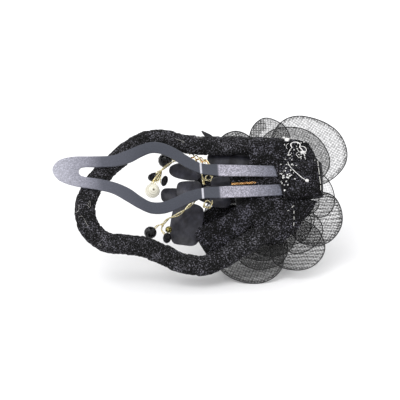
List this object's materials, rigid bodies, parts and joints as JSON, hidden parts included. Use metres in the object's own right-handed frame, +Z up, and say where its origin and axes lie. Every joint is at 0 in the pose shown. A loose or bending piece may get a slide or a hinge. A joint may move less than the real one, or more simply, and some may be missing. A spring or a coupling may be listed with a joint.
{
  "type": "alligator hair clip",
  "caption": "Black flower hair clip seen from behind: sprung forked metal jaw over a ribbon-wrapped wire loop with organza and satin petals and beaded wire sprays.",
  "frame": {"origin": "centre of the footprint, on the surface that the clip rests on", "axes": "+X along the clip from the jaw's tip to its lever, +Z up; the clip leans back 45 degrees, with the jaw's face looking to -Y and up"},
  "size_m": [0.1156, 0.0592, 0.0534],
  "materials": {
    "gunmetal_paint": "satin",
    "bare_steel": "brushed",
    "black_net_ribbon": "matte",
    "cotton_padding": "matte",
    "black_felt": "matte",
    "black_organza": "sheer",
    "navy_satin": "satin",
    "hot_glue": "translucent gloss",
    "pearl_bead": "pearlescent",
    "jet_bead": "faceted gloss",
    "gold_wire": "bright",
    "clear_bead": "clear gloss"
  },
  "bodies": {
    "root": {"base_plate": "bare_steel", "hinge_pin": "bare_steel", "torsion_spring": "bare_steel", "frame_wire": "bare_steel", "frame_padding": "cotton_padding", "frame_wrap": "black_net_ribbon", "net_cover": "black_net_ribbon", "net_gather": "black_net_ribbon", "glue_bed": "hot_glue", "felt_backing": "black_felt", "flower_core": "cotton_padding", "outer_petal_1": "black_organza", "outer_petal_2": "black_organza", "outer_petal_3": "black_organza", "outer_petal_4": "black_organza", "outer_petal_5": "black_organza", "outer_petal_6": "black_organza", "outer_petal_7": "black_organza", "outer_petal_8": "black_organza", "middle_petal_1": "black_organza", "middle_petal_2": "black_organza", "middle_petal_3": "black_organza", "middle_petal_4": "black_organza", "middle_petal_5": "black_organza", "middle_petal_6": "black_organza", "inner_petal_1": "black_organza", "inner_petal_2": "black_organza", "inner_petal_3": "black_organza", "inner_petal_4": "black_organza", "inner_petal_5": "black_organza", "heart_petal_1": "black_organza", "heart_petal_2": "black_organza", "heart_petal_3": "black_organza", "heart_petal_4": "black_organza", "satin_core": "navy_satin", "satin_petal_1": "navy_satin", "satin_petal_2": "navy_satin", "satin_petal_3": "navy_satin", "satin_petal_4": "navy_satin", "satin_petal_5": "navy_satin", "satin_petal_6": "navy_satin", "satin_petal_7": "navy_satin", "pearl": "pearl_bead", "black_bead_1": "jet_bead", "black_bead_2": "jet_bead", "black_bead_3": "jet_bead", "black_bead_4": "jet_bead", "black_bead_5": "jet_bead", "gold_bead": "gold_wire", "clear_bead": "clear_bead", "upper_stem": "gold_wire", "pearl_branch": "gold_wire", "bead_1_branch": "gold_wire", "side_stem": "gold_wire", "lower_stem": "gold_wire", "bead_3_branch": "gold_wire", "bead_4_branch": "gold_wire", "glue_blob": "hot_glue"},
    "jaw": {"jaw_blade": "gunmetal_paint", "lever_pad": "black_felt"}
  },
  "joints": [
    {"name": "jaw_hinge", "type": "hinge", "parent": "root", "child": "jaw", "pos_m": [0.03384, -0.00221, 0.03334], "axis": [0, 0.7071, 0.7071], "range_deg": [0, 25], "stiffness_Nm_per_rad": 0.1, "springref_deg": -17.19, "deforming": ["torsion_spring"]}
  ]
}
